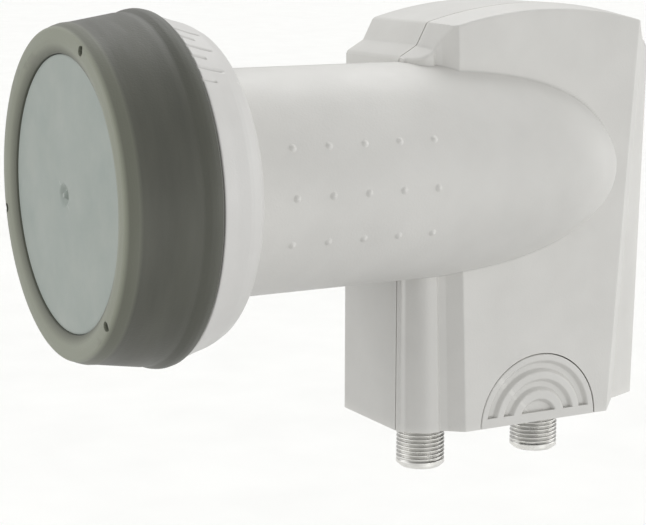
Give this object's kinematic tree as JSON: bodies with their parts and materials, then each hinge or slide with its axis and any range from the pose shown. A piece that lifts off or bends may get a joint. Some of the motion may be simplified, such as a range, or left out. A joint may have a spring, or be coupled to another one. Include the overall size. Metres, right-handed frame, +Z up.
{
  "type": "twin-output satellite feed converter",
  "caption": "Low-noise block feed converter for a dish antenna, with a clamp neck, a capped feed horn, threaded coaxial outputs and a sliding weather shield.",
  "frame": {"origin": "on the feed axis, in the middle of the 40 mm clamp neck", "axes": "+Y runs along the feed axis from the horn to the housing, +Z up with the outputs pointing down, +X to the side with the waveguide bulge"},
  "size_m": [0.0614, 0.125, 0.0907],
  "materials": {
    "shell_plastic": "fine satin moulding",
    "collar_plastic": "satin moulding",
    "cap_soft": "soft-touch matt",
    "cap_hard": "satin moulding",
    "seal_rubber": "matt",
    "cast_metal": "as cast",
    "screw_steel": "zinc plated",
    "board_laminate": "solder mask",
    "contact_brass": "plain",
    "ptfe": "waxy",
    "component_ceramic": "fired, unglazed",
    "chip_epoxy": "moulded epoxy",
    "nickel_plate": "satin nickel plate"
  },
  "bodies": {
    "housing": {"near_shell": "shell_plastic", "far_shell": "shell_plastic", "scale_collar": "collar_plastic", "cap_ring": "cap_soft", "cap_window": "cap_hard", "cap_seal": "seal_rubber", "cast_body": "cast_metal", "casting_lid": "cast_metal", "lid_gasket": "seal_rubber", "lid_screw_1": "screw_steel", "lid_screw_2": "screw_steel", "lid_screw_3": "screw_steel", "lid_screw_4": "screw_steel", "lid_screw_5": "screw_steel", "lid_screw_6": "screw_steel", "circuit_board": "board_laminate", "probe_horizontal": "contact_brass", "probe_vertical": "contact_brass", "probe_bead_horizontal": "ptfe", "probe_bead_vertical": "ptfe", "isolation_post": "contact_brass", "resonator_low": "component_ceramic", "resonator_high": "component_ceramic", "tuning_screw_low": "contact_brass", "tuning_screw_high": "contact_brass", "converter_chip_1": "chip_epoxy", "converter_chip_2": "chip_epoxy", "switch_chip": "chip_epoxy", "voltage_regulator": "chip_epoxy", "bias_choke_1": "component_ceramic", "bias_choke_2": "component_ceramic", "port_barrel_1": "nickel_plate", "port_barrel_2": "nickel_plate", "port_insulator_1": "ptfe", "port_insulator_2": "ptfe", "port_contact_1": "contact_brass", "port_contact_2": "contact_brass", "port_washer_1": "seal_rubber", "port_washer_2": "seal_rubber"},
    "shield": {"weather_shield": "shell_plastic"}
  },
  "joints": [
    {"name": "shield_slide", "type": "slide", "parent": "housing", "child": "shield", "axis": [0, 0, -1], "range_m": [0, 0.0185]}
  ]
}
